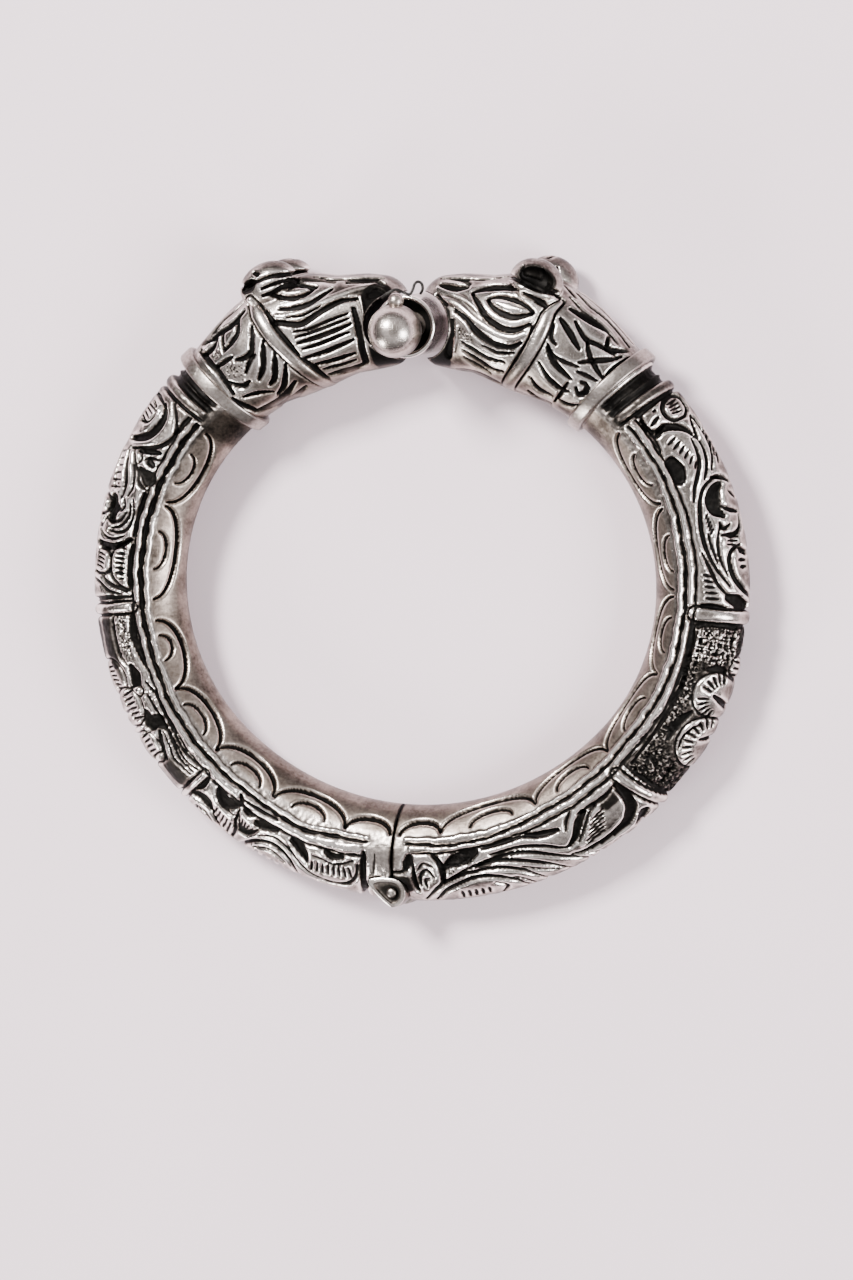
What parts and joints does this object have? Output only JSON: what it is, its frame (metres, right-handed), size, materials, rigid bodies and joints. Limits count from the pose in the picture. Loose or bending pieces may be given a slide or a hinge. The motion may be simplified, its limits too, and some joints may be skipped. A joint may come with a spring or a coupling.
{
  "type": "kada bangle",
  "caption": "Hinged oval kada bangle of cast silver relief with facing lion heads and a ball screw clasp between their jaws.",
  "frame": {"origin": "centre of the wrist opening, half way up the band", "axes": "+Z along the wrist, up when the bangle lies flat with its ball on top; +Y to the clasp, -Y to the hinge; +X to the right half"},
  "size_m": [0.0884, 0.0833, 0.02],
  "materials": {
    "oxidised_silver": "cast silver, bright on the high points and black in the hollows",
    "polished_silver": "worn polish",
    "dark_wire": "tarnished black"
  },
  "bodies": {
    "left_half": {"band_left": "oxidised_silver", "lion_head_left": "oxidised_silver", "hinge_pin": "polished_silver"},
    "right_half": {"band_right": "oxidised_silver", "lion_head_right": "oxidised_silver"},
    "clasp_screw": {"ball_screw": "polished_silver", "keeper_wire": "dark_wire"}
  },
  "joints": [
    {"name": "hinge_swing", "type": "hinge", "parent": "left_half", "child": "right_half", "pos_m": [-0.00333, -0.03968, 0], "axis": [0, 0, -1], "range_deg": [0, 50]},
    {"name": "screw_out", "type": "slide", "parent": "right_half", "child": "clasp_screw", "axis": [0, 0, 1], "range_m": [0, 0.0105]}
  ]
}
